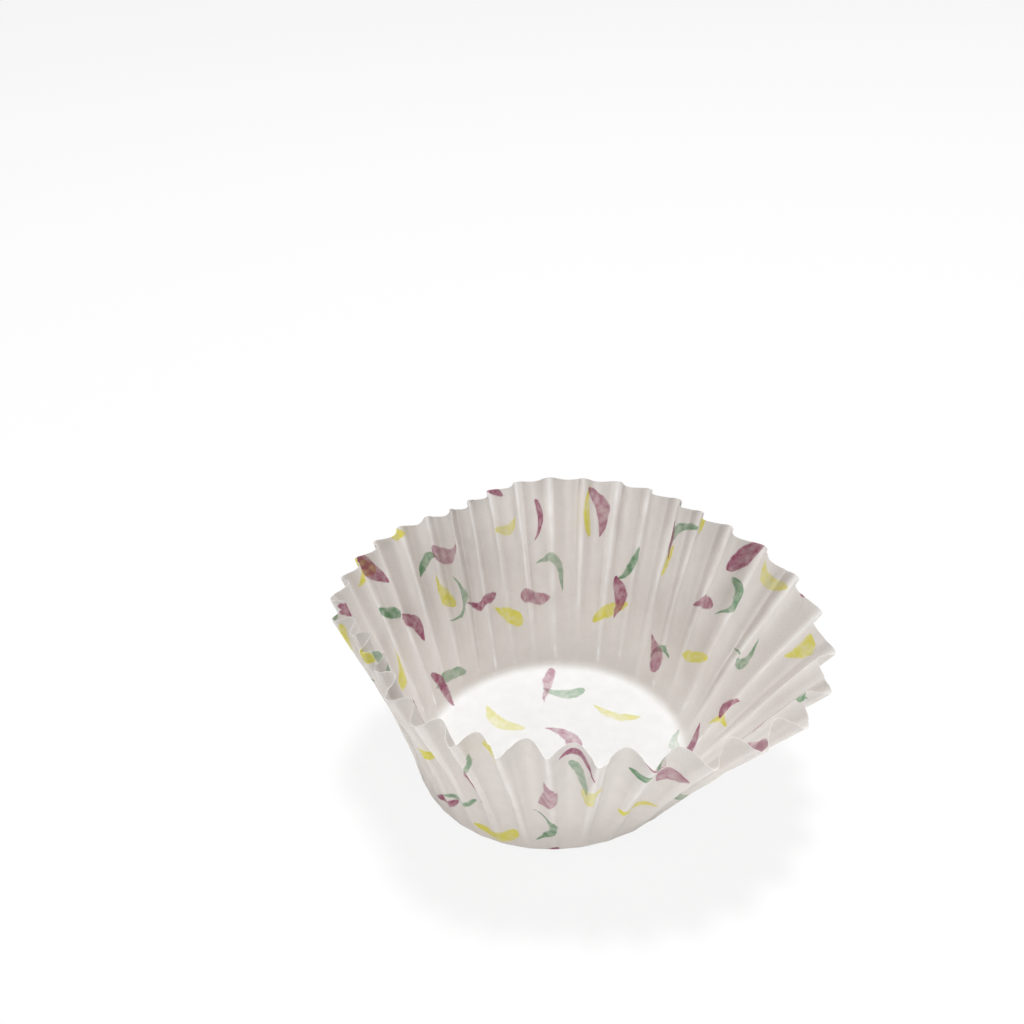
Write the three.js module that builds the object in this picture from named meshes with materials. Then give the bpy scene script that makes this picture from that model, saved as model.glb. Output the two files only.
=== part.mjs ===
// Paper baking cup, pressed in one piece from a round sheet: a flat round floor, a soft corner
// and a wall gathered into pleats that start at the floor and are deepest at the rim.
// Millimetres, +Z up. The origin is the middle of the floor's underside. -Y is the front, and
// the wall has sagged outward most toward the front right, as a loose paper cup does.

import * as THREE from "three";

// The sheet
const floorDiameter = 50;
const wallLength = 39.4;
const paperThickness = 0.07;
const cornerLength = 1.8;

// The pleats. Narrow outward folds stand between broad, soft inward folds. A rounding is the
// share of the way to the next fold that belongs to the fold's curve.
const pleatCount = 36;
const rimPleatDepth = 3.2;
const outwardRounding = 0.22;
const inwardRounding = 0.56;
const depthVariation = 0.14;
const widthVariation = 0.07;

// Where the first outward fold lies before the pleats are widened, how much wider and deeper
// than on average the widest and the deepest pleats are, and in which direction those lie.
const firstFoldDegrees = 2.7;
const widening = 0.08;
const widestDegrees = 60;
const deepening = 0.2;
const deepestDegrees = 45;

// The angle above level of the straight way from the floor's edge to the rim, in degrees, at
// even steps round the cup that start at the front and go by the right side, and how much
// steeper the wall is next to the floor than at the rim.
const wallAngles = [68.5, 60.5, 54.5, 61, 73.5, 72, 72.5, 83.5, 78, 74.5, 79, 71.5];
const rimFlare = 6;

// Fineness of the surface
const outwardSamples = 3;
const inwardSamples = 5;
const cornerSteps = 3;
const wallSteps = 6;
const slopeProbe = 0.001;

// Large uneven numbers that make one pleat's variation unlike the next one's
const pleatMixing = 12.9898;
const seedMixing = 78.233;
const mixingScale = 43758.5453;

const floorRadius = floorDiameter / 2;
const turn = Math.PI * 2;

// A fixed number between -1 and 1 for each pleat, so that no two pleats are quite alike.
function unevenness(pleat, seed) {
  const wave = Math.sin((pleat + 1) * pleatMixing + seed * seedMixing) * mixingScale;
  return (wave - Math.floor(wave)) * 2 - 1;
}

// The wall's angle at the rim in radians, by a smooth closed curve through the given angles.
function angleAtRim(direction) {
  const count = wallAngles.length;
  const place = THREE.MathUtils.euclideanModulo(direction / turn, 1) * count;
  const index = Math.floor(place);
  const step = place - index;
  const near = [-1, 0, 1, 2].map((offset) => wallAngles[(index + offset + count) % count]);
  const startSlope = (near[2] - near[0]) / 2;
  const endSlope = (near[3] - near[1]) / 2;
  const rise = near[2] - near[1];
  const cubic = startSlope + endSlope - 2 * rise;
  const square = 3 * rise - 2 * startSlope - endSlope;
  const angle = near[1] + startSlope * step + square * step ** 2 + cubic * step ** 3;
  return THREE.MathUtils.degToRad(angle);
}

// A point of the wall as it would be without pleats. The fraction is 0 at the floor's edge
// and 1 at the rim, measured along the paper.
function plainWallPoint(direction, fraction) {
  const straightening = THREE.MathUtils.degToRad(rimFlare) * (1 - fraction) / 2;
  const angle = angleAtRim(direction) + straightening;
  const radius = floorRadius + wallLength * fraction * Math.cos(angle);
  return new THREE.Vector3(
    radius * Math.sin(direction),
    -radius * Math.cos(direction),
    wallLength * fraction * Math.sin(angle),
  );
}

// The unit vector square to the plain wall, pointing out of the cup.
function wallOutward(direction, fraction) {
  const here = plainWallPoint(direction, fraction);
  const around = plainWallPoint(direction + slopeProbe, fraction).sub(here);
  const upward = plainWallPoint(direction, fraction + slopeProbe).sub(here);
  return around.cross(upward).normalize();
}

// The folds in order round the cup, outward and inward by turns. A place counts in pleats, and
// a level is the share of the pleat depth by which the fold stands out of the plain wall.
function pleatFolds() {
  const folds = [];
  for (let pleat = 0; pleat < pleatCount; pleat += 1) {
    folds.push({
      place: pleat,
      level: 0.5 + depthVariation * unevenness(pleat, 2),
      rounding: outwardRounding,
      samples: outwardSamples,
    });
    folds.push({
      place: pleat + 0.5 + widthVariation * unevenness(pleat, 1),
      level: -0.5,
      rounding: inwardRounding,
      samples: inwardSamples,
    });
  }
  return folds;
}

// The pleats as columns of the wall, each with its direction and level. A fold is a rounded
// corner, and the paper is straight between two folds.
function pleatColumns() {
  const columns = [];
  const folds = pleatFolds();
  folds.forEach((fold, index) => {
    const before = folds[(index + folds.length - 1) % folds.length];
    const after = folds[(index + 1) % folds.length];
    const leftWay = (fold.place - before.place + pleatCount) % pleatCount;
    const rightWay = (after.place - fold.place + pleatCount) % pleatCount;
    for (let sample = 0; sample < fold.samples; sample += 1) {
      const across = sample / (fold.samples - 1);
      const place = roundedCorner(-leftWay, 0, rightWay, across) * fold.rounding;
      const rise = roundedCorner(before.level - fold.level, 0, after.level - fold.level, across);
      columns.push({
        direction: pleatDirection(fold.place + place),
        level: fold.level + rise * fold.rounding,
      });
    }
  });
  return columns;
}

// The direction of a place among the pleats, in radians.
function pleatDirection(place) {
  const even = THREE.MathUtils.degToRad(firstFoldDegrees) + place * turn / pleatCount;
  return even + widening * Math.sin(even - THREE.MathUtils.degToRad(widestDegrees));
}

// How far apart an outward and an inward fold would stand at the rim if they were sharp.
function sharpPleatDepth(direction) {
  const deepest = THREE.MathUtils.degToRad(deepestDegrees);
  const depth = rimPleatDepth * (1 + deepening * Math.cos(direction - deepest));
  return depth / (1 - (outwardRounding + inwardRounding) / 2);
}

// A parabola that leaves its first value, heads for the corner value and ends at the last.
function roundedCorner(first, corner, last, across) {
  return (1 - across) ** 2 * first + 2 * across * (1 - across) * corner + across ** 2 * last;
}

// A point of the pleated wall. The creases are straight, so the depth grows evenly.
function wallPoint(column, fraction) {
  const depth = sharpPleatDepth(column.direction) * fraction;
  const outward = wallOutward(column.direction, Math.max(fraction, slopeProbe));
  return plainWallPoint(column.direction, fraction).addScaledVector(outward, column.level * depth);
}

// A point of the soft corner between floor and wall, from the flat floor up to the wall.
function cornerPoint(column, across) {
  const radius = floorRadius - cornerLength;
  const foot = new THREE.Vector3(Math.sin(column.direction), -Math.cos(column.direction), 0);
  const top = wallPoint(column, cornerLength / wallLength);
  return foot.clone().multiplyScalar(radius * (1 - across) ** 2)
    .addScaledVector(foot, floorRadius * 2 * across * (1 - across))
    .addScaledVector(top, across ** 2);
}

// The rings of the paper's middle surface, from the edge of the flat floor up to the rim.
function paperRings(columns) {
  const rings = [];
  for (let step = 0; step < cornerSteps; step += 1) {
    rings.push(columns.map((column) => cornerPoint(column, step / cornerSteps)));
  }
  const wallStart = cornerLength / wallLength;
  for (let step = 0; step <= wallSteps; step += 1) {
    const fraction = wallStart + (1 - wallStart) * step / wallSteps;
    rings.push(columns.map((column) => wallPoint(column, fraction)));
  }
  return rings;
}

// The unit vector square to the paper at a ring's column, pointing out of the cup.
function paperOutward(rings, ring, column) {
  if (ring === 0) {
    return new THREE.Vector3(0, 0, -1);
  }
  const count = rings[ring].length;
  const lower = rings[ring - 1][column];
  const upper = rings[Math.min(ring + 1, rings.length - 1)][column];
  const left = rings[ring][(column + count - 1) % count];
  const right = rings[ring][(column + 1) % count];
  const around = right.clone().sub(left);
  const upward = upper.clone().sub(lower);
  return around.cross(upward).normalize();
}

// The closed skin round the paper: an outer face, an inner face and the thin edge at the rim.
function paperShell(rings) {
  const positions = [];
  const indices = [];
  const ringCount = rings.length;
  const columnCount = rings[0].length;
  const middleHeight = paperThickness / 2;
  const addPoint = (point) => positions.push(point.x, point.y, point.z + middleHeight);
  for (const side of [1, -1]) {
    rings.forEach((points, ring) => points.forEach((point, column) => {
      const outward = paperOutward(rings, ring, column);
      addPoint(point.clone().addScaledVector(outward, side * paperThickness / 2));
    }));
  }
  addPoint(new THREE.Vector3(0, 0, -paperThickness / 2));
  addPoint(new THREE.Vector3(0, 0, paperThickness / 2));

  const outside = (ring, column) => ring * columnCount + column % columnCount;
  const inside = (ring, column) => (ringCount + ring) * columnCount + column % columnCount;
  const underFloor = 2 * ringCount * columnCount;
  const onFloor = underFloor + 1;
  const addQuad = (a, b, c, d) => indices.push(a, b, c, a, c, d);
  for (let column = 0; column < columnCount; column += 1) {
    indices.push(underFloor, outside(0, column + 1), outside(0, column));
    indices.push(onFloor, inside(0, column), inside(0, column + 1));
    for (let ring = 0; ring < ringCount - 1; ring += 1) {
      addQuad(
        outside(ring, column),
        outside(ring, column + 1),
        outside(ring + 1, column + 1),
        outside(ring + 1, column),
      );
      addQuad(
        inside(ring, column + 1),
        inside(ring, column),
        inside(ring + 1, column),
        inside(ring + 1, column + 1),
      );
    }
    const rim = ringCount - 1;
    addQuad(
      outside(rim, column),
      outside(rim, column + 1),
      inside(rim, column + 1),
      inside(rim, column),
    );
  }

  const geometry = new THREE.BufferGeometry();
  geometry.setAttribute("position", new THREE.Float32BufferAttribute(positions, 3));
  geometry.setIndex(indices);
  geometry.computeVertexNormals();
  return geometry;
}

function makeBakingCup() {
  const paper = new THREE.MeshStandardMaterial({ color: 0xe6e0dc, roughness: 0.85, metalness: 0 });
  const cup = new THREE.Mesh(paperShell(paperRings(pleatColumns())), paper);
  cup.name = "baking_cup";
  return cup;
}

const group = new THREE.Group();
group.add(makeBakingCup());

export default group;
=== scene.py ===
import math
from collections import namedtuple

import bpy
import numpy as np
from mathutils import Matrix, Vector, noise


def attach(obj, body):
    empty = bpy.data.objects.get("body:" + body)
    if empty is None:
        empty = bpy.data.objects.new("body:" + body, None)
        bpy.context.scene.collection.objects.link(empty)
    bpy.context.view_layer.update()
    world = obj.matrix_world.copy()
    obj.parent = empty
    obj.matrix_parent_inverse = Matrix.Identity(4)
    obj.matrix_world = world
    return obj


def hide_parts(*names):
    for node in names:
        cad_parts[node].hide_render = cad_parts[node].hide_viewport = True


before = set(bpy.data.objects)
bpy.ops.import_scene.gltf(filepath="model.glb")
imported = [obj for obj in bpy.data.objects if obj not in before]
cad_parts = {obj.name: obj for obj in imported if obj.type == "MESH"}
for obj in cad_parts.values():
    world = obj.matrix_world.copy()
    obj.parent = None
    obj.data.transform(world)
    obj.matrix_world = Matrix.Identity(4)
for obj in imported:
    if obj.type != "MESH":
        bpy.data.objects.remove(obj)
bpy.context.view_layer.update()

# The paper cup's sizes, in metres, as in the part's source
FLOOR_RADIUS = 0.025
WALL_LENGTH = 0.0394
PAPER_THICKNESS = 0.00007
CORNER_LENGTH = 0.0018

# The pleats and the slope of the wall, as in the part's source. The wall's angles and its flare
# are in degrees.
PLEAT_COUNT = 36
RIM_PLEAT_DEPTH = 0.0032
OUTWARD_ROUNDING = 0.22
INWARD_ROUNDING = 0.56
DEPTH_VARIATION = 0.14
WIDTH_VARIATION = 0.07
FIRST_FOLD = math.radians(2.7)
WIDENING = 0.08
WIDEST = math.radians(60)
DEEPENING = 0.2
DEEPEST = math.radians(45)
WALL_ANGLES = (68.5, 60.5, 54.5, 61, 73.5, 72, 72.5, 83.5, 78, 74.5, 79, 71.5)
RIM_FLARE = 6
SLOPE_PROBE = 0.001

# Large uneven numbers that make one pleat's variation unlike the next one's
PLEAT_MIXING = 12.9898
SEED_MIXING = 78.233
MIXING_SCALE = 43758.5453
WIDTH_SEED = 1
DEPTH_SEED = 2
BOW_SEED = 3

# Fineness of the visible paper
OUTWARD_SAMPLES = 7
INWARD_SAMPLES = 9
FACE_SAMPLES = 3
CORNER_STEPS = 8
WALL_STEPS = 30
SHARP_EDGE = math.radians(60)

# Small relief of the visible paper: how far it bows between two folds, in pleat depths, the
# depth and size of each kind of wrinkle in metres, and how fast the wrinkles and the wear of
# the folds set in up the wall
FACE_BOW = 0.09
WRINKLES = ((0.0001, 0.004), (0.00045, 0.013))
WRINKLE_ONSET = 5
CREASE_ONSET = 6

# Camera: where the middle of the floor lands in the picture, and how it is seen
PICTURE_WIDTH = 1024
FLOOR_MIDDLE_PIXEL = (553.3, 750.4)
FOCAL_PIXELS = 1206
CAMERA_DISTANCE = 0.23175
SIGHT_ELEVATION = math.radians(42.9)
CAMERA_ROLL = math.radians(-2.6)
SENSOR_WIDTH = 36
NEAREST_SEEN = 0.01

# Linear colours
# The paper on the cup's floor is painted lighter than on the wall, as painted light from above
PAPER_FLOOR_PAINTED_LIGHT = (0.905, 0.89, 0.865, 1)
PAPER_WALL = (0.665, 0.617, 0.588, 1)
PAPER_THIN = (0.94, 0.935, 0.93, 1)
PAPER_FIBRE = (0.90, 0.885, 0.87, 1)
PLUM = (0.280, 0.075, 0.145, 1)
GREEN = (0.125, 0.265, 0.145, 1)
YELLOW = (0.640, 0.590, 0.110, 1)
GROUND = (0.90, 0.90, 0.90, 1)
WHITE = (1, 1, 1, 1)

# The paper's sheen, how strongly its fibres show and how high they stand in metres, and how far
# light spreads inside it, in metres and as shares of that for red, green and blue
PAPER_SHEEN = 0.25
FIBRE_BUMP = 0.35
FIBRE_RELIEF = 0.00003
SCATTER_LENGTH = 0.0003
SCATTER_SHARES = (1, 0.96, 0.93)

# Textures over the flat sheet: cycles for each millimetre, detail and roughness
CLOUDS = (0.35, 4, 0.5)
FIBRES = (4.5, 3, 0.7)
WEAR_PATCHES = (0.11, 2, 0.5)
EDGE_WAVER = (0.45, 2, 0.5)
INK_POOLS = (0.6, 3, 0.55)

# How the values of a texture turn into strengths: two of its values, then their strengths
CLOUD_STRENGTH = (0.3, 0.7, 0, 1)
FIBRE_STRENGTH = (0.35, 0.65, 0, 0.35)
FIBRE_ROUGHNESS = (0.3, 0.7, 0.62, 0.8)
WEAR_STRENGTH = (0.42, 0.66, 0.05, 0.7)
PINCH_STRENGTH = (0.5, 0.56, 0, 1.8)
INK_STRENGTH = (0.38, 0.66, 0.6, 1)

# The cup's floor is painted lighter than the wall, as painted light: the floor takes the strong
# light from above and the steep wall stands in shade. It fades into the wall between these radii in
# the flat sheet, in millimetres, and its inks are painted paler by this factor, also as painted
# light.
FLOOR_FADE = (23.8, 25.4)
FLOOR_INK_PAINTED_LIGHT = 0.78

# Where the paleness of the folds grows from its start to its full strength, and where their
# pinched beginnings fade in and out, in the same radii, and how much of it the outside shows
RIM_WEAR = (28, 52)
RIM_WEAR_START = 0.4
PINCH_START = (26.2, 27.4)
PINCH_END = (28.2, 30.5)
OUTSIDE_WEAR = 0.35

# The print, ink by ink, in millimetres of the flat sheet. Each stroke has its own cell in a random
# layout. The reach is half the length of the longest strokes, the bend is how far their ends
# curve aside in reaches, and faint is the share of the strokes that are paler than the full ink.
Ink = namedtuple("Ink", "colour cell shift reach half_width bend faint")
INKS = (
    Ink(YELLOW, cell=23, shift=(40, 15), reach=5.5, half_width=2.0, bend=0.45, faint=0.4),
    Ink(GREEN, cell=24.5, shift=(-70, 110), reach=5.5, half_width=1.5, bend=1.0, faint=0.7),
    Ink(PLUM, cell=21, shift=(150, -35), reach=5.7, half_width=1.85, bend=0.55, faint=0.4),
)

# The strokes: how uneven their cells are, the shortest and the slimmest as shares of the longest
# and the widest, by what share the blunt end is wider, and how bluntly the ends close. In
# millimetres, where the edge fades in and how far it wavers. Last, the faintest ink's strength
# and how much more ink gathers at both ends.
CELL_JITTER = 0.5
SHORTEST_STROKE = 0.6
SLIMMEST_STROKE = 0.45
STROKE_LEAN = (0.1, 0.65)
STROKE_CLOSING = 0.45
STROKE_EDGE = (-0.06, 0.26)
WAVER_WIDTH = 1
FAINTEST_INK = 0.68
END_POOLING = 0.14

# Numbers that make further chances out of a cell's own ones
SLIMNESS_MIXING = 13.7
LEAN_MIXING = 11.3
FAINTNESS_MIXING = 7.9

# Surroundings, in metres and watts. A lamp has a name, a place, a size and a power.
GROUND_HALF_WIDTH = 3
GROUND_WHITENESS = 0.88
SKY_LIGHT = 0.16
LAMPS = (
    ("overhead", (0.06, 0.05, 0.9), 0.16, 7.9),
    ("front_left", (-0.6, -0.75, 0.13), 0.35, 1.5),
    ("front_right", (0.5, -0.8, 0.13), 0.35, 1.35),
)

TURN = 2 * math.pi
MM_PER_METRE = 1000


def unevenness(pleat, seed):
    """A fixed number between -1 and 1 for each pleat, another one for each seed."""
    wave = math.sin((pleat + 1) * PLEAT_MIXING + seed * SEED_MIXING) * MIXING_SCALE
    return (wave - math.floor(wave)) * 2 - 1


def angle_at_rim(direction):
    """The angle above level of the straight way from the floor's edge to the rim, in radians."""
    angles = np.radians(np.array(WALL_ANGLES, dtype=float))
    count = len(angles)
    place = np.mod(direction / TURN, 1) * count
    index = np.floor(place).astype(int)
    step = place - index
    before, here, after, beyond = (angles[(index + offset) % count] for offset in (-1, 0, 1, 2))
    start_slope = (after - before) / 2
    end_slope = (beyond - here) / 2
    rise = after - here
    cubic = start_slope + end_slope - 2 * rise
    square = 3 * rise - 2 * start_slope - end_slope
    return here + start_slope * step + square * step**2 + cubic * step**3


def plain_wall(direction, fraction):
    """Points of the wall without pleats. The fraction is 0 at the floor's edge and 1 at the rim."""
    angle = angle_at_rim(direction) + math.radians(RIM_FLARE) * (1 - fraction) / 2
    radius = FLOOR_RADIUS + WALL_LENGTH * fraction * np.cos(angle)
    return np.stack([
        radius * np.sin(direction),
        -radius * np.cos(direction),
        WALL_LENGTH * fraction * np.sin(angle),
    ], axis=-1)


def unit(vectors):
    """The same directions with a length of 1."""
    return vectors / np.linalg.norm(vectors, axis=-1, keepdims=True)


def wall_outward(direction, fraction):
    """Unit vectors square to the plain wall, pointing out of the cup."""
    here = plain_wall(direction, fraction)
    around = plain_wall(direction + SLOPE_PROBE, fraction) - here
    upward = plain_wall(direction, fraction + SLOPE_PROBE) - here
    return unit(np.cross(around, upward))


def rounded_corner(first, corner, last, across):
    """A parabola that leaves its first value, heads for the corner value and ends at the last."""
    return (1 - across) ** 2 * first + 2 * across * (1 - across) * corner + across**2 * last


def pleat_folds():
    """Place in pleats, level, rounding and samples of each fold, outward and inward by turns."""
    folds = []
    for pleat in range(PLEAT_COUNT):
        level = 0.5 + DEPTH_VARIATION * unevenness(pleat, DEPTH_SEED)
        folds.append((pleat, level, OUTWARD_ROUNDING, OUTWARD_SAMPLES))
        place = pleat + 0.5 + WIDTH_VARIATION * unevenness(pleat, WIDTH_SEED)
        folds.append((place, -0.5, INWARD_ROUNDING, INWARD_SAMPLES))
    return folds


def pleat_columns():
    """Direction, level and outward-fold mark of each column of the wall."""
    places, levels, marks = [], [], []
    folds = pleat_folds()
    for index, (fold, level, rounding, samples) in enumerate(folds):
        before, before_level = folds[index - 1][:2]
        after, after_level, after_rounding = folds[(index + 1) % len(folds)][:3]
        left = (fold - before) % PLEAT_COUNT
        right = (after - fold) % PLEAT_COUNT
        sharpness = 1 if rounding == OUTWARD_ROUNDING else 0
        for across in np.linspace(0, 1, samples):
            places.append(fold + rounded_corner(-left, 0, right, across) * rounding)
            rise = rounded_corner(before_level - level, 0, after_level - level, across)
            levels.append(level + rise * rounding)
            marks.append(sharpness * (1 - abs(2 * across - 1)))
        bow = FACE_BOW * unevenness(index, BOW_SEED)
        for across in np.arange(1, FACE_SAMPLES + 1) / (FACE_SAMPLES + 1):
            along = rounding + (1 - rounding - after_rounding) * across
            places.append(fold + right * along)
            levels.append(level + (after_level - level) * along + bow * math.sin(math.pi * across))
            marks.append(0)
    even = FIRST_FOLD + np.array(places) * TURN / PLEAT_COUNT
    return even + WIDENING * np.sin(even - WIDEST), np.array(levels), np.array(marks)


def sharp_pleat_depth(direction):
    """How far apart an outward and an inward fold would stand at the rim if they were sharp."""
    depth = RIM_PLEAT_DEPTH * (1 + DEEPENING * np.cos(direction - DEEPEST))
    return depth / (1 - (OUTWARD_ROUNDING + INWARD_ROUNDING) / 2)


def wall_ring(direction, level, fraction):
    """A ring of points round the pleated wall."""
    standing = level * sharp_pleat_depth(direction) * fraction
    return plain_wall(direction, fraction) + wall_outward(direction, fraction) * standing[:, None]


def corner_ring(direction, level, across):
    """A ring of points in the soft corner between the flat floor and the wall."""
    foot = np.stack([np.sin(direction), -np.cos(direction), 0 * direction], axis=-1)
    top = wall_ring(direction, level, CORNER_LENGTH / WALL_LENGTH)
    flat = foot * (FLOOR_RADIUS - CORNER_LENGTH)
    return rounded_corner(flat, foot * FLOOR_RADIUS, top, across)


def paper_rings():
    """The middle surface of the paper as rings of points, with the direction and the fold mark of
    each column, and the radius in the flat sheet and the height up the wall of each ring."""
    direction, level, mark = pleat_columns()
    rings, sheet_radii, heights = [], [], []
    for step in range(CORNER_STEPS):
        across = step / CORNER_STEPS
        rings.append(corner_ring(direction, level, across))
        sheet_radii.append(FLOOR_RADIUS + CORNER_LENGTH * (2 * across - 1))
        heights.append(0)
    wall_start = CORNER_LENGTH / WALL_LENGTH
    for step in range(WALL_STEPS + 1):
        fraction = wall_start + (1 - wall_start) * step / WALL_STEPS
        rings.append(wall_ring(direction, level, fraction))
        sheet_radii.append(FLOOR_RADIUS + WALL_LENGTH * fraction)
        heights.append(fraction)
    return np.array(rings), direction, mark, np.array(sheet_radii), np.array(heights)


def outward_of(rings):
    """Unit vectors square to the paper at each point of the rings, pointing out of the cup."""
    around = np.roll(rings, -1, axis=1) - np.roll(rings, 1, axis=1)
    upward = np.gradient(rings, axis=0)
    normals = unit(np.cross(around, upward))
    normals[0] = (0, 0, -1)
    return normals


def wrinkle(rings, heights):
    """Small dents and broad soft buckles, none at the floor."""
    relief = np.zeros(rings.shape[:2])
    for ring, fraction in enumerate(heights):
        fade = min(1, fraction * WRINKLE_ONSET)
        for column, point in enumerate(rings[ring]):
            for depth, size in WRINKLES:
                relief[ring, column] += fade * depth * noise.noise(Vector(point) / size)
    return relief


def paper_faces(ring_count, column_count):
    """The faces of the paper's closed skin: outside and inside, the edge at the rim, and the flat
    floor below and above."""
    column = np.arange(column_count)
    after = (column + 1) % column_count
    inside = ring_count * column_count
    under_floor = 2 * inside
    on_floor = under_floor + 1

    def band(low, high):
        return np.stack([low + column, low + after, high + after, high + column], axis=-1)

    bands = []
    for low in range(0, inside - column_count, column_count):
        high = low + column_count
        bands.append(band(low, high))
        bands.append(band(inside + low, inside + high)[:, [1, 0, 3, 2]])
    rim = inside - column_count
    bands.append(band(rim, inside + rim))
    faces = np.concatenate(bands).tolist()
    steps = list(zip(column.tolist(), after.tolist()))
    faces += [(under_floor, b, a) for a, b in steps]
    faces += [(on_floor, inside + a, inside + b) for a, b in steps]
    return faces


def add_attribute(mesh, name, kind, field, outside, inside):
    """Stores a value for each point of the two skins, and zero for the floor's two middles."""
    width = outside.shape[-1] if outside.ndim == 3 else 1
    values = np.concatenate([outside.ravel(), inside.ravel(), np.zeros(2 * width)])
    mesh.attributes.new(name, kind, "POINT").data.foreach_set(field, values)


def cup_mesh():
    """The wrinkled paper as a closed mesh, with each point's place in the flat sheet in
    millimetres and its share in a worn fold."""
    rings, direction, mark, sheet_radii, heights = paper_rings()
    rings = rings + outward_of(rings) * wrinkle(rings, heights)[..., None]
    outward = outward_of(rings)
    lift = np.array([0, 0, PAPER_THICKNESS / 2])
    outer = rings + outward * PAPER_THICKNESS / 2 + lift
    inner = rings - outward * PAPER_THICKNESS / 2 + lift
    middles = np.array([[0, 0, 0], [0, 0, PAPER_THICKNESS]])
    points = np.concatenate([outer.reshape(-1, 3), inner.reshape(-1, 3), middles])

    mesh = bpy.data.meshes.new("paper_cup")
    mesh.from_pydata(points.tolist(), [], paper_faces(*rings.shape[:2]))
    mesh.update()
    mesh.shade_smooth()
    mesh.set_sharp_from_angle(angle=SHARP_EDGE)

    across = sheet_radii[:, None] * np.sin(direction)
    along = -sheet_radii[:, None] * np.cos(direction)
    sheet = np.stack([across, along, 0 * across], axis=-1) * MM_PER_METRE
    add_attribute(mesh, "flat_sheet", "FLOAT_VECTOR", "vector", sheet, sheet)
    crease = mark[None, :] * np.minimum(1, heights * CREASE_ONSET)[:, None]
    add_attribute(mesh, "crease", "FLOAT", "value", crease * OUTSIDE_WEAR, crease)
    return mesh


class Nodes:
    """Short names for adding shader nodes to one tree."""

    def __init__(self, tree):
        self.tree = tree

    def add(self, kind, **settings):
        node = self.tree.nodes.new(kind)
        for name, value in settings.items():
            setattr(node, name, value)
        return node

    def join(self, source, target):
        """Links a socket to the target, or sets the target to a plain value."""
        if isinstance(source, bpy.types.NodeSocket):
            self.tree.links.new(source, target)
        else:
            target.default_value = source

    def math(self, operation, first, second=0, clamp=False):
        node = self.add("ShaderNodeMath", operation=operation, use_clamp=clamp)
        self.join(first, node.inputs[0])
        self.join(second, node.inputs[1])
        return node.outputs[0]

    def product(self, first, *others):
        for other in others:
            first = self.math("MULTIPLY", first, other)
        return first

    def noise(self, vector, scale, detail, roughness):
        node = self.add("ShaderNodeTexNoise")
        self.join(vector, node.inputs["Vector"])
        node.inputs["Scale"].default_value = scale
        node.inputs["Detail"].default_value = detail
        node.inputs["Roughness"].default_value = roughness
        return node

    def mix(self, factor, first, second, blend="MIX"):
        """Mixes two colours, whose sockets come after those for numbers and vectors."""
        node = self.add("ShaderNodeMix", data_type="RGBA", blend_type=blend)
        self.join(factor, node.inputs[0])
        self.join(first, node.inputs[6])
        self.join(second, node.inputs[7])
        return node.outputs[2]

    def vector(self, operation, first, second):
        node = self.add("ShaderNodeVectorMath", operation=operation)
        self.join(first, node.inputs[0])
        self.join(second, node.inputs[1])
        return node.outputs[0]

    def ranged(self, value, low, high, to_low, to_high):
        node = self.add("ShaderNodeMapRange", clamp=True)
        for socket, given in zip(node.inputs, (value, low, high, to_low, to_high)):
            self.join(given, socket)
        return node.outputs[0]

    def chance(self, given, mixing):
        """Another number between 0 and 1 out of a given one."""
        return self.math("FRACT", self.math("MULTIPLY", given, mixing))


def brush_strokes(nodes, sheet, ink):
    """A mask of bent brush strokes, one in each cell of a random layout on the flat sheet,
    the place along the stroke from -1 at its blunt end to 1 at its thin end, and a fixed
    number between 0 and 1 for each stroke."""
    moved = nodes.vector("ADD", sheet, (*ink.shift, 0))
    cells = nodes.add("ShaderNodeTexVoronoi", voronoi_dimensions="2D", feature="F1")
    nodes.join(moved, cells.inputs["Vector"])
    cells.inputs["Scale"].default_value = 1 / ink.cell
    cells.inputs["Randomness"].default_value = CELL_JITTER
    local = nodes.vector("SUBTRACT", moved, cells.outputs["Position"])
    chances = nodes.add("ShaderNodeSeparateColor")
    nodes.join(cells.outputs["Color"], chances.inputs[0])
    red, green, blue = chances.outputs[:3]
    turned = nodes.add("ShaderNodeVectorRotate", rotation_type="Z_AXIS")
    nodes.join(local, turned.inputs["Vector"])
    nodes.join(nodes.math("MULTIPLY", red, TURN), turned.inputs["Angle"])
    split = nodes.add("ShaderNodeSeparateXYZ")
    nodes.join(turned.outputs[0], split.inputs[0])
    along, across = split.outputs[0], split.outputs[1]

    reach = nodes.ranged(blue, 0, 1, ink.reach * SHORTEST_STROKE, ink.reach)
    part = nodes.math("DIVIDE", along, reach)
    square = nodes.math("MULTIPLY", part, part)
    curve = nodes.ranged(green, 0, 1, -ink.bend, ink.bend)
    middle = nodes.product(square, curve, reach)
    aside = nodes.math("ABSOLUTE", nodes.math("SUBTRACT", across, middle))
    left_over = nodes.math("MAXIMUM", nodes.math("SUBTRACT", 1, square), 0)
    taper = nodes.math("POWER", left_over, STROKE_CLOSING)
    lean = nodes.ranged(nodes.chance(green, LEAN_MIXING), 0, 1, *STROKE_LEAN)
    uneven = nodes.math("SUBTRACT", 1, nodes.math("MULTIPLY", part, lean))
    slimmest = ink.half_width * SLIMMEST_STROKE
    widest = nodes.ranged(nodes.chance(red, SLIMNESS_MIXING), 0, 1, ink.half_width, slimmest)
    half = nodes.product(taper, uneven, widest)
    inside = nodes.math("SUBTRACT", half, aside)
    return nodes.ranged(inside, *STROKE_EDGE, 0, 1), part, nodes.chance(blue, FAINTNESS_MIXING)


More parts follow.
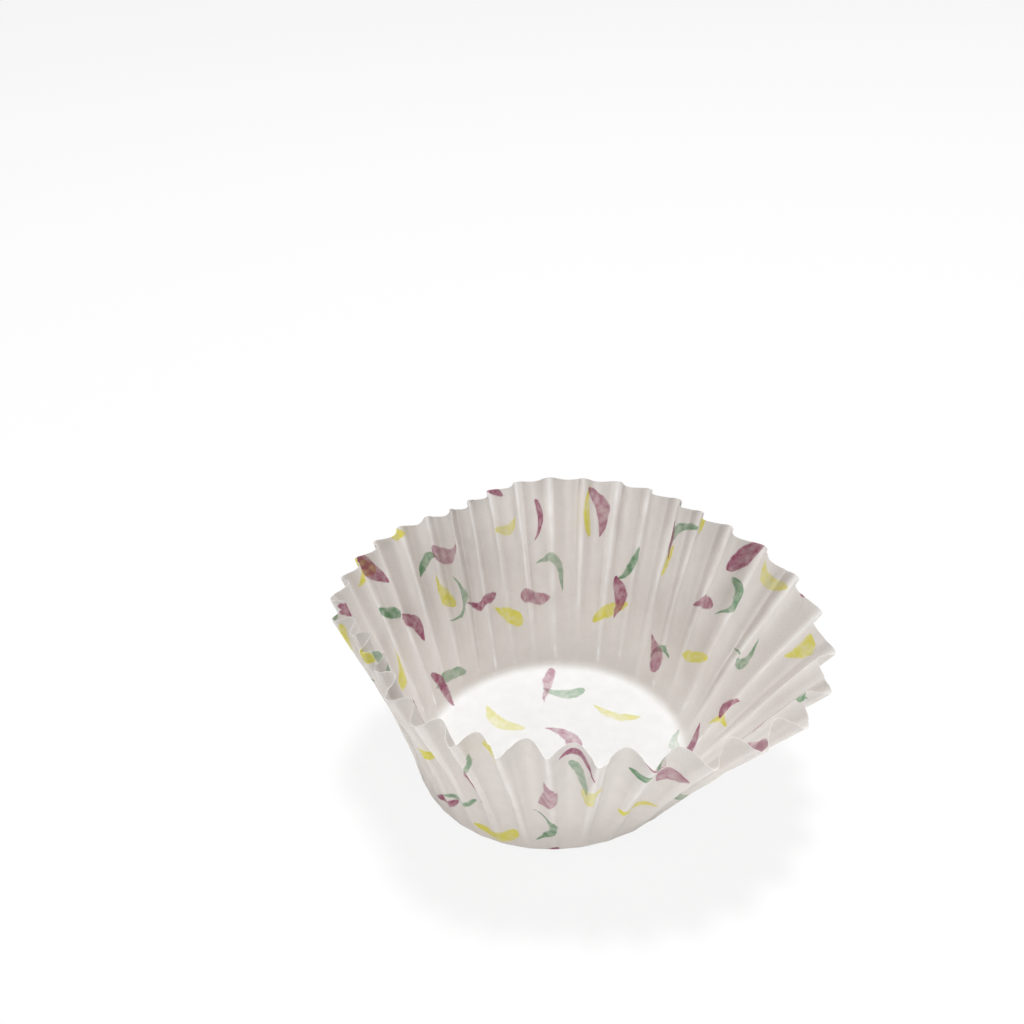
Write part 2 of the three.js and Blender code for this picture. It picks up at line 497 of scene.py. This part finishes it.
def bare_paper(nodes, sheet, raised, fibre):
    """The colour of the unprinted paper, cloudy and fibrous, and painted whiter on the cup's floor
    as painted light.
    """
    cloud = nodes.noise(sheet, *CLOUDS).outputs["Fac"]
    # Painted light: the cup's floor is given a lighter paper colour than the wall
    colour = nodes.mix(raised, PAPER_FLOOR_PAINTED_LIGHT, PAPER_WALL)
    colour = nodes.mix(nodes.ranged(cloud, *CLOUD_STRENGTH), colour, PAPER_THIN, "MULTIPLY")
    return nodes.mix(nodes.ranged(fibre, *FIBRE_STRENGTH), colour, PAPER_FIBRE)


def with_worn_folds(nodes, sheet, radius, colour):
    """The outward folds are paler here and there, most of all near the rim and at their start."""
    crease = nodes.add("ShaderNodeAttribute", attribute_name="crease").outputs["Fac"]
    patches = nodes.noise(sheet, *WEAR_PATCHES).outputs["Fac"]
    higher = nodes.ranged(radius, *RIM_WEAR, RIM_WEAR_START, 1)
    pale = nodes.product(nodes.ranged(patches, *WEAR_STRENGTH), higher)
    begun = nodes.ranged(radius, *PINCH_START, 0, 1)
    not_over = nodes.ranged(radius, *PINCH_END, 1, 0)
    pinch = nodes.product(begun, not_over, nodes.ranged(patches, *PINCH_STRENGTH))
    wear = nodes.math("MULTIPLY", crease, nodes.math("ADD", pale, pinch), clamp=True)
    return nodes.mix(wear, colour, PAPER_FIBRE)


def with_print(nodes, sheet, raised, colour):
    """The inks over the paper's colour, each mottled as thin watercolour is, and painted paler on
    the cup's floor as painted light.
    """
    waver = nodes.noise(sheet, *EDGE_WAVER).outputs["Color"]
    wavering = nodes.vector("MULTIPLY", waver, (WAVER_WIDTH, WAVER_WIDTH, 0))
    drawn = nodes.vector("ADD", sheet, wavering)
    pool = nodes.noise(drawn, *INK_POOLS).outputs["Fac"]
    # Painted light: the inks are painted paler on the cup's floor
    painted_floor_light = nodes.ranged(raised, 0, 1, FLOOR_INK_PAINTED_LIGHT, 1)
    for ink in INKS:
        stroke, part, lot = brush_strokes(nodes, drawn, ink)
        pooled = nodes.math("ADD", pool, nodes.product(part, part, END_POOLING))
        mottled = nodes.ranged(pooled, *INK_STRENGTH)
        faintness = nodes.ranged(lot, 0, ink.faint, FAINTEST_INK, 1)
        strength = nodes.product(mottled, faintness, painted_floor_light)
        colour = nodes.mix(nodes.math("MULTIPLY", stroke, strength), colour, ink.colour)
    return colour


def paper_material():
    """Thin matt greaseproof paper that lets some light through, printed in three inks."""
    material = bpy.data.materials.new("printed_paper")
    material.use_nodes = True
    nodes = Nodes(material.node_tree)
    shader = material.node_tree.nodes["Principled BSDF"]

    sheet = nodes.add("ShaderNodeAttribute", attribute_name="flat_sheet").outputs["Vector"]
    from_middle = nodes.add("ShaderNodeVectorMath", operation="LENGTH")
    nodes.join(sheet, from_middle.inputs[0])
    radius = from_middle.outputs["Value"]
    raised = nodes.ranged(radius, *FLOOR_FADE, 0, 1)
    fibre = nodes.noise(sheet, *FIBRES).outputs["Fac"]
    colour = bare_paper(nodes, sheet, raised, fibre)
    colour = with_worn_folds(nodes, sheet, radius, colour)
    colour = with_print(nodes, sheet, raised, colour)
    nodes.join(colour, shader.inputs["Base Color"])

    shader.inputs["Subsurface Weight"].default_value = 1
    shader.inputs["Subsurface Radius"].default_value = SCATTER_SHARES
    shader.inputs["Subsurface Scale"].default_value = SCATTER_LENGTH
    shader.inputs["Specular IOR Level"].default_value = PAPER_SHEEN
    nodes.join(nodes.ranged(fibre, *FIBRE_ROUGHNESS), shader.inputs["Roughness"])

    bump = nodes.add("ShaderNodeBump")
    bump.inputs["Strength"].default_value = FIBRE_BUMP
    bump.inputs["Distance"].default_value = FIBRE_RELIEF
    nodes.join(fibre, bump.inputs["Height"])
    nodes.join(bump.outputs[0], shader.inputs["Normal"])
    return material


def make_cup():
    """The printed paper cup, in place of the plain solid."""
    cup = bpy.data.objects.new("paper_cup", cup_mesh())
    bpy.context.scene.collection.objects.link(cup)
    cup.data.materials.append(paper_material())
    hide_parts("baking_cup")
    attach(cup, "root")


def background_seen(nodes):
    """1 for rays that show the background itself, 0 for rays that light the cup."""
    path = nodes.add("ShaderNodeLightPath").outputs
    seen = nodes.math("MAXIMUM", path["Is Camera Ray"], path["Is Glossy Ray"])
    return nodes.math("MAXIMUM", seen, path["Is Transmission Ray"])


def floor_material():
    """Matt white that looks nearly pure white and still shows the cup's shadow."""
    material = bpy.data.materials.new("white_floor")
    material.use_nodes = True
    material.node_tree.nodes.clear()
    nodes = Nodes(material.node_tree)
    output = nodes.add("ShaderNodeOutputMaterial")
    matt = nodes.add("ShaderNodeBsdfDiffuse")
    matt.inputs["Color"].default_value = GROUND
    white = nodes.add("ShaderNodeEmission")
    white.inputs["Color"].default_value = WHITE
    mixer = nodes.add("ShaderNodeMixShader")
    nodes.join(nodes.math("MULTIPLY", background_seen(nodes), GROUND_WHITENESS), mixer.inputs[0])
    nodes.join(matt.outputs[0], mixer.inputs[1])
    nodes.join(white.outputs[0], mixer.inputs[2])
    nodes.join(mixer.outputs[0], output.inputs["Surface"])
    return material


def make_floor():
    """The ground that the cup stands on."""
    half = GROUND_HALF_WIDTH
    corners = [(-half, -half, 0), (half, -half, 0), (half, half, 0), (-half, half, 0)]
    mesh = bpy.data.meshes.new("floor")
    mesh.from_pydata(corners, [], [(0, 1, 2, 3)])
    floor = bpy.data.objects.new("floor", mesh)
    bpy.context.scene.collection.objects.link(floor)
    mesh.materials.append(floor_material())


def make_world():
    """White all round: faint where it lights the cup, and full where it is seen."""
    world = bpy.data.worlds.new("studio")
    bpy.context.scene.world = world
    world.use_nodes = True
    nodes = Nodes(world.node_tree)
    background = world.node_tree.nodes["Background"]
    background.inputs["Color"].default_value = WHITE
    strength = nodes.ranged(background_seen(nodes), 0, 1, SKY_LIGHT, 1)
    nodes.join(strength, background.inputs["Strength"])


def make_lamp(name, place, size, power):
    """A round soft lamp that faces the cup."""
    lamp = bpy.data.lights.new(name, "AREA")
    lamp.shape = "DISK"
    lamp.size = size
    lamp.energy = power
    holder = bpy.data.objects.new(name, lamp)
    holder.location = place
    holder.rotation_euler = (-Vector(place)).to_track_quat("-Z", "Y").to_euler()
    bpy.context.scene.collection.objects.link(holder)


def make_camera():
    """The camera sees the middle of the floor at the given pixel, elevation and roll."""
    sight = Vector((0, math.cos(SIGHT_ELEVATION), -math.sin(SIGHT_ELEVATION)))
    level = Vector((1, 0, 0))
    upright = level.cross(sight)
    across = level * math.cos(CAMERA_ROLL) + upright * math.sin(CAMERA_ROLL)
    up = upright * math.cos(CAMERA_ROLL) - level * math.sin(CAMERA_ROLL)
    straight = Matrix((across, up, -sight)).transposed()
    half = PICTURE_WIDTH / 2
    aside = (FLOOR_MIDDLE_PIXEL[0] - half) / FOCAL_PIXELS
    above = (half - FLOOR_MIDDLE_PIXEL[1]) / FOCAL_PIXELS
    ray = Vector((aside, above, -1)).normalized()
    tilt = Vector((0, 0, -1)).rotation_difference(ray).to_matrix()
    turned = (straight @ tilt.transposed()).to_4x4()
    data = bpy.data.cameras.new("camera")
    data.sensor_width = SENSOR_WIDTH
    data.lens = FOCAL_PIXELS / PICTURE_WIDTH * SENSOR_WIDTH
    data.clip_start = NEAREST_SEEN
    camera = bpy.data.objects.new("camera", data)
    camera.matrix_world = Matrix.Translation(-sight * CAMERA_DISTANCE) @ turned
    bpy.context.scene.collection.objects.link(camera)
    bpy.context.scene.camera = camera


make_cup()
make_floor()
make_world()
for lamp in LAMPS:
    make_lamp(*lamp)
make_camera()
bpy.context.scene.view_settings.view_transform = "Standard"
